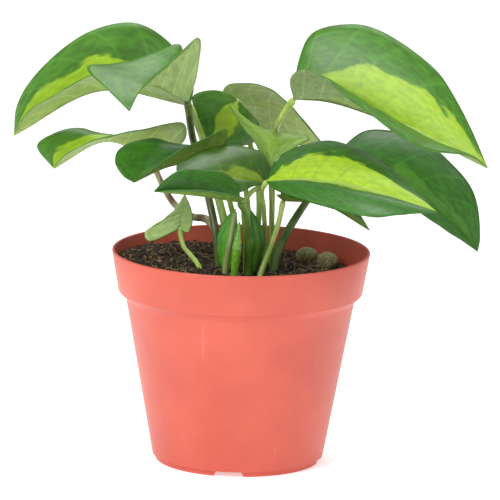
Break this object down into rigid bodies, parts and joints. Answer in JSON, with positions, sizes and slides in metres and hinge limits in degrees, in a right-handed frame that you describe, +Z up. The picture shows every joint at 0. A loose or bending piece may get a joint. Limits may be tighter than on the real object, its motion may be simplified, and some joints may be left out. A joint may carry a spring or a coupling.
{
  "type": "potted pothos plant",
  "caption": "Young variegated pothos with heart-shaped leaves on slender stalks, growing from dark peat in a round terracotta-coloured plastic nursery pot.",
  "frame": {"origin": "centre of the plant's overall footprint, at the level of the surface the pot stands on", "axes": "+Z up the pot's axis; the camera of the picture looked along +Y, so +X is to its right"},
  "size_m": [0.2182, 0.1322, 0.2053],
  "materials": {
    "terracotta": "thin moulded plastic, semi-matt, faintly scuffed",
    "peat": "damp crumbly peat and coir with pale fibres",
    "pellet": "dull olive-grey granule",
    "marbled": "waxy leaf, green with large lime patches",
    "pale": "waxy leaf seen from its pale underside",
    "lime": "waxy lime-green leaf",
    "green": "waxy deep green leaf",
    "shaded": "waxy olive-green leaf",
    "fresh": "glossy bright green new growth",
    "stem": "smooth fleshy stalk"
  },
  "bodies": {
    "root": {"pot": "terracotta", "soil": "peat", "feed_pellet_left": "pellet", "feed_pellet_right": "pellet", "leaf_upper_left": "marbled", "leaf_upper_left_curled": "pale", "leaf_left_twisted": "lime", "leaf_left_front": "green", "leaf_centre": "shaded", "leaf_front_small": "green", "leaf_right_front": "marbled", "leaf_upper_right": "marbled", "leaf_right_back": "green", "leaf_back_right": "pale", "leaf_back_left": "lime", "leaf_centre_young": "pale", "leaf_right_low": "green", "leaf_left_low": "pale", "sprout_left": "fresh", "sprout_right": "fresh", "stem_upper_left": "stem", "stem_upper_left_curled": "stem", "stem_left_twisted": "stem", "stem_left_front": "stem", "stem_centre": "stem", "stem_front_small": "stem", "stem_right_front": "stem", "stem_upper_right": "stem", "stem_right_back": "stem", "stem_back_right": "stem", "stem_back_left": "stem", "stem_centre_young": "stem", "stem_right_low": "stem", "stem_left_low": "stem", "shoot_stem": "stem", "rolled_leaf": "fresh"}
  },
  "joints": []
}
